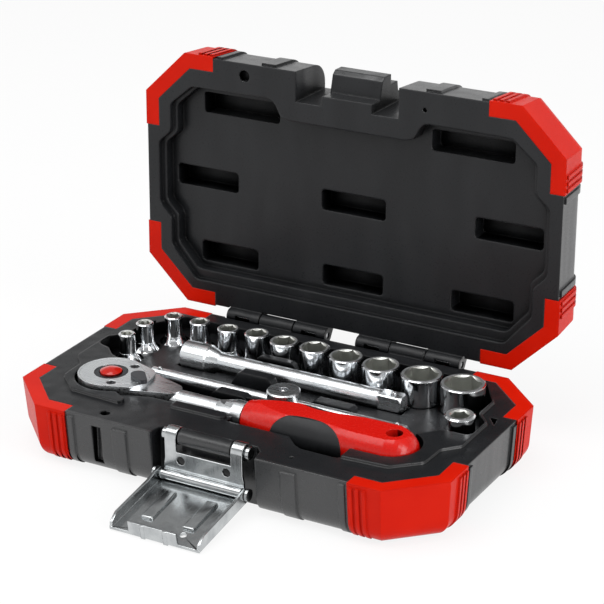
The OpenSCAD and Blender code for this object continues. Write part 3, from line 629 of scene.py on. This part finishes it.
@dataclass
class Sockets:
    """Twelve sockets and the bit adaptor: bright outside, ground mouth and broached holes.

    A face is level where its normal's rise passes level_rise, and belongs to a hole's wall
    where it looks at the axis by more than inward. The floor of a hole lies within
    floor_share of the radius and above foot_mm, the mouth within rim_depth_mm of the top.
    """

    level_rise: float = 0.9
    inward: float = 0.35
    rim_depth_mm: float = 0.3
    foot_mm: float = 1.0
    floor_share: float = 0.55

    def build(self) -> None:
        """Builds each socket and dresses the magnet."""
        finishes = (BRIGHT_CHROME.build(), BROACHED_STEEL.build(), GROUND_RIM.build())
        for node in frame["nodes"]:
            if node.startswith("socket_") or node == "bit_adaptor":
                self.socket(node, finishes)
        dress_node("bit_magnet", FERRITE.build())

    def socket(self, node: str, finishes: tuple[bpy.types.Material, ...]) -> None:
        """Builds one socket with its three finishes.

        Args:
            node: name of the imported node.
            finishes: materials in the order of SocketFinish.
        """
        obj = merged_copy(node, finishes[0])
        for finish in finishes[1:]:
            obj.data.materials.append(finish)
        low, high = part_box(node)
        axis = (low + high) / 2
        floor_r = (high.x - low.x) / 2 * self.floor_share
        for face in obj.data.polygons:
            out = Vector((face.center.x - axis.x, face.center.y - axis.y, 0))
            level = abs(face.normal.z) > self.level_rise
            facing_up = face.normal.z > self.level_rise
            if facing_up and face.center.z > high.z - self.rim_depth_mm * MM:
                face.material_index = SocketFinish.RIM.value
            elif level and out.length < floor_r and face.center.z > low.z + self.foot_mm * MM:
                face.material_index = SocketFinish.HOLES.value
            elif not level and face.normal.dot(out.normalized()) < -self.inward:
                face.material_index = SocketFinish.HOLES.value


@dataclass
class Handles:
    """The extension bar and the sliding T-handle."""

    bars: tuple[str, ...] = ("extension_bar", "t_handle_rod", "t_handle_slider")
    balls: tuple[str, ...] = ("extension_ball", "t_handle_stop_balls", "t_handle_detent_balls")

    def build(self) -> None:
        """Dresses the bars and the balls."""
        for nodes, finish in ((self.bars, SATIN_CHROME), (self.balls, PIN_STEEL)):
            material = finish.build()
            for node in nodes:
                dress_node(node, material)


@dataclass
class Ratchet:
    """The ratchet: forged body, cover, gear, button, lever and two-part grip."""

    head: tuple[str, ...] = ("ratchet_body", "ratchet_cover")
    works: tuple[str, ...] = ("cover_screws", "drive_gear", "release_spring", "ratchet_pawl",
                              "pawl_plunger", "drive_ball")

    def build(self) -> None:
        """Dresses the head, its works, the controls and the grip."""
        for nodes, finish in ((self.head, SATIN_CHROME), (self.works, HARD_STEEL)):
            material = finish.build()
            for node in nodes:
                dress_node(node, material)
        dress_node("ratchet_grip", GRIP_SHELL.build())
        dress_node("grip_inlays", GRIP_SOFT.build())
        dress_node("reversing_lever", LEVER_CAP.build())
        dress_node("release_button", BUTTON_CAP.build())


# ---------- stage ----------


@dataclass(frozen=True)
class SoftBox:
    """A rectangular lamp of the studio."""

    name: str
    place_m: tuple[float, float, float]
    size_m: tuple[float, float]
    power_w: float

    def build(self, aim_m: tuple[float, float, float]) -> None:
        """Adds the lamp.

        Args:
            aim_m: the spot that it points at.
        """
        data = bpy.data.lights.new(self.name, "AREA")
        data.shape = "RECTANGLE"
        data.size, data.size_y = self.size_m
        data.energy = self.power_w
        obj = bpy.data.objects.new(self.name, data)
        obj.location = self.place_m
        aim = Vector(aim_m) - Vector(self.place_m)
        obj.rotation_euler = aim.to_track_quat("-Z", "Y").to_euler()
        bpy.context.scene.collection.objects.link(obj)


@dataclass
class Stage:
    """Floor, lamps, world and camera.

    The world is white to the camera. In reflections it is white up to ceiling_from, the rise
    of the direction, and falls to ceiling_level at ceiling_to.
    """

    azimuth: float = 30.02
    elevation: float = 23.0
    roll: float = -0.78
    distance_m: float = 0.8658
    target_mm: tuple[float, float, float] = (4.45, 15.28, 57.41)
    focal_px: float = 2225.4
    image_px: int = 604
    sensor_mm: float = 36.0
    clip_m: tuple[float, float] = (0.05, 20.0)
    floor_m: float = 6.0
    floor_paint: str = "#F4F4F4"
    floor_white: float = 0.85
    aim_m: tuple[float, float, float] = (0.0, 0.0, 0.04)
    lamps: tuple[SoftBox, ...] = (
        SoftBox("top_box", (-0.1, -0.15, 1.1), (0.8, 0.6), 5.5),
        SoftBox("right_box", (1.0, -0.2, 0.55), (0.5, 0.7), 6.0),
        SoftBox("left_box", (-0.9, -0.5, 0.5), (0.5, 0.6), 1.0),
        SoftBox("front_box", (-0.5, -0.52, 0.95), (0.6, 0.5), 2.6),
    )
    world_level: float = 0.45
    ceiling_from: float = 0.2
    ceiling_to: float = 0.5
    ceiling_level: float = 0.35

    def build(self) -> None:
        """Sets up everything around the object."""
        self.floor()
        self.world()
        for lamp in self.lamps:
            lamp.build(self.aim_m)
        self.camera()

    def floor(self) -> None:
        """Lays a white floor that keeps the object's shadow."""
        bpy.ops.object.select_all(action="DESELECT")
        bpy.ops.mesh.primitive_plane_add(size=self.floor_m, location=(0, 0, 0))
        plane = bpy.context.active_object
        plane.name = "floor"
        material, tree, output = new_material("painted_white_floor")
        paint = add_node(tree, "ShaderNodeBsdfDiffuse", {"Color": linear(self.floor_paint)})
        glow = add_node(tree, "ShaderNodeEmission", {"Color": linear(WHITE), "Strength": 1.0})
        path = add_node(tree, "ShaderNodeLightPath", {})
        seen = add_node(tree, "ShaderNodeMath",
                        {0: path.outputs["Is Camera Ray"], 1: path.outputs["Is Glossy Ray"]},
                        operation="MAXIMUM")
        share = add_node(tree, "ShaderNodeMath", {0: seen.outputs[0], 1: self.floor_white},
                         operation="MULTIPLY")
        mix = add_node(tree, "ShaderNodeMixShader",
                       {0: share.outputs[0], 1: paint.outputs[0], 2: glow.outputs[0]})
        tree.links.new(mix.outputs[0], output.inputs["Surface"])
        plane.data.materials.append(material)

    def world(self) -> None:
        """Fills the surroundings: white all round, a dim ceiling above for reflections."""
        world = bpy.data.worlds.new("studio")
        bpy.context.scene.world = world
        world.use_nodes = True
        tree = world.node_tree
        tree.nodes.clear()
        path = add_node(tree, "ShaderNodeLightPath", {})
        direction = add_node(tree, "ShaderNodeTexCoord", {}).outputs["Generated"]
        height = add_node(tree, "ShaderNodeSeparateXYZ", {"Vector": direction})
        ceiling = add_node(tree, "ShaderNodeMapRange",
                           {"Value": height.outputs["Z"], "From Min": self.ceiling_from,
                            "From Max": self.ceiling_to, "To Min": 1.0,
                            "To Max": self.ceiling_level})
        plain = add_node(tree, "ShaderNodeBackground",
                         {"Color": linear(WHITE), "Strength": self.world_level})
        mirrored = add_node(tree, "ShaderNodeBackground",
                            {"Color": linear(WHITE), "Strength": ceiling.outputs["Result"]})
        white = add_node(tree, "ShaderNodeBackground", {"Color": linear(WHITE), "Strength": 1.0})
        shiny = add_node(tree, "ShaderNodeMixShader",
                         {0: path.outputs["Is Glossy Ray"], 1: plain.outputs[0],
                          2: mirrored.outputs[0]})
        seen = add_node(tree, "ShaderNodeMath",
                        {0: path.outputs["Is Camera Ray"], 1: path.outputs["Is Transmission Ray"]},
                        operation="MAXIMUM")
        mix = add_node(tree, "ShaderNodeMixShader",
                       {0: seen.outputs[0], 1: shiny.outputs[0], 2: white.outputs[0]})
        output = add_node(tree, "ShaderNodeOutputWorld", {})
        tree.links.new(mix.outputs[0], output.inputs["Surface"])

    def camera(self) -> None:
        """Places the camera."""
        a, e, r = (math.radians(v) for v in (self.azimuth, self.elevation, self.roll))
        back = Vector((math.sin(a) * math.cos(e), -math.cos(a) * math.cos(e), math.sin(e)))
        right = Vector((math.cos(a), math.sin(a), 0))
        up = back.cross(right)
        across = right * math.cos(r) + up * math.sin(r)
        above = up * math.cos(r) - right * math.sin(r)
        data = bpy.data.cameras.new("camera")
        data.sensor_width = self.sensor_mm
        data.lens = self.focal_px * data.sensor_width / self.image_px
        data.clip_start, data.clip_end = self.clip_m
        obj = bpy.data.objects.new("camera", data)
        turn = Matrix((across, above, back)).transposed().to_4x4()
        spot = Vector(self.target_mm) * MM + back * self.distance_m
        obj.matrix_world = Matrix.Translation(spot) @ turn
        bpy.context.scene.collection.objects.link(obj)
        bpy.context.scene.camera = obj


def main() -> None:
    """Builds the stage and each sub-assembly in order."""
    logging.basicConfig(level=logging.INFO, format="%(message)s")
    bpy.context.scene.view_settings.view_transform = "Standard"
    bpy.ops.object.select_all(action="DESELECT")
    for part in (Stage(), Case(), Latch(), Sockets(), Handles(), Ratchet()):
        part.build()
        log.info("%s built", type(part).__name__)


if __name__ == "__main__":
    main()
